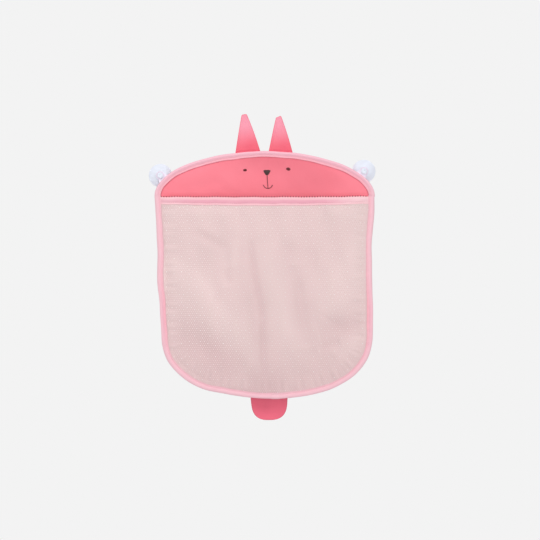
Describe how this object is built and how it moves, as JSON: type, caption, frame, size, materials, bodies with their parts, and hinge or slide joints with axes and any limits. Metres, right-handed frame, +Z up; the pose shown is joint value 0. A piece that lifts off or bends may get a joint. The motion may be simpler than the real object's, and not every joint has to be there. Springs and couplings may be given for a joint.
{
  "type": "bath toy organizer",
  "caption": "Flat net bag for bath toys with a cloth animal-face top panel, a bound edge and suction cups that hold it to a tiled wall.",
  "frame": {"origin": "on the plane of the wall that the suction cups stick to, on the bag's centre line, at the mean height of the cups", "axes": "+Z up, +X to the right seen from the front, +Y into the wall; the front faces -Y"},
  "size_m": [0.392, 0.0428, 0.5294],
  "materials": {
    "coral_cloth": "plain woven polyester cloth",
    "tail_cloth": "plain woven polyester cloth, darker",
    "binding_tape": "folded woven tape with a slight sheen",
    "net_yarn": "knitted polyester net",
    "ribbon": "satin ribbon",
    "thread": "dense embroidery thread",
    "clear_vinyl": "clear soft vinyl"
  },
  "bodies": {
    "bag": {"edge_binding": "binding_tape", "face_panel": "coral_cloth", "face_lining": "coral_cloth", "back_net": "net_yarn", "pocket_net": "net_yarn", "mouth_tape": "binding_tape", "eye_left": "thread", "eye_right": "thread", "nose": "thread", "mouth": "thread"},
    "ear_left": {"ear_left_front": "coral_cloth", "ear_left_back": "coral_cloth"},
    "ear_right": {"ear_right_front": "coral_cloth", "ear_right_back": "coral_cloth"},
    "tail": {"tail_front": "tail_cloth", "tail_back": "tail_cloth"},
    "tab_left": {"hanging_tab_left": "ribbon"},
    "tab_right": {"hanging_tab_right": "ribbon"},
    "cup_left": {"suction_cup_left": "clear_vinyl"},
    "cup_right": {"suction_cup_right": "clear_vinyl"}
  },
  "joints": [
    {"name": "ear_left_fold", "type": "hinge", "parent": "bag", "child": "ear_left", "pos_m": [-0.02878, -0.0119, 0.0394], "axis": [0.998, 0, 0.0626], "range_deg": [-10, 90], "stiffness_Nm_per_rad": 0.01},
    {"name": "ear_right_fold", "type": "hinge", "parent": "bag", "child": "ear_right", "pos_m": [0.02858, -0.0119, 0.03941], "axis": [0.9981, 0, -0.0622], "range_deg": [-10, 90], "stiffness_Nm_per_rad": 0.01},
    {"name": "tail_swing", "type": "hinge", "parent": "bag", "child": "tail", "pos_m": [0.00822, -0.0119, -0.39028], "axis": [-0.9999, 0, -0.0119], "range_deg": [-15, 90]},
    {"name": "tab_left_fold", "type": "hinge", "parent": "bag", "child": "tab_left", "pos_m": [-0.17566, -0.0119, -0.00773], "axis": [0.7188, 0, 0.6952], "range_deg": [-20, 60], "stiffness_Nm_per_rad": 0.05},
    {"name": "tab_right_fold", "type": "hinge", "parent": "bag", "child": "tab_right", "pos_m": [0.16764, -0.0119, -0.0009], "axis": [0.7977, 0, -0.6031], "range_deg": [-20, 60], "stiffness_Nm_per_rad": 0.05},
    {"name": "cup_left_turn", "type": "hinge", "parent": "tab_left", "child": "cup_left", "pos_m": [-0.18032, -0.0119, -0.00292], "axis": [0, 1, 0], "continuous": true},
    {"name": "cup_right_turn", "type": "hinge", "parent": "tab_right", "child": "cup_right", "pos_m": [0.17168, -0.0119, 0.00444], "axis": [0, 1, 0], "continuous": true}
  ]
}
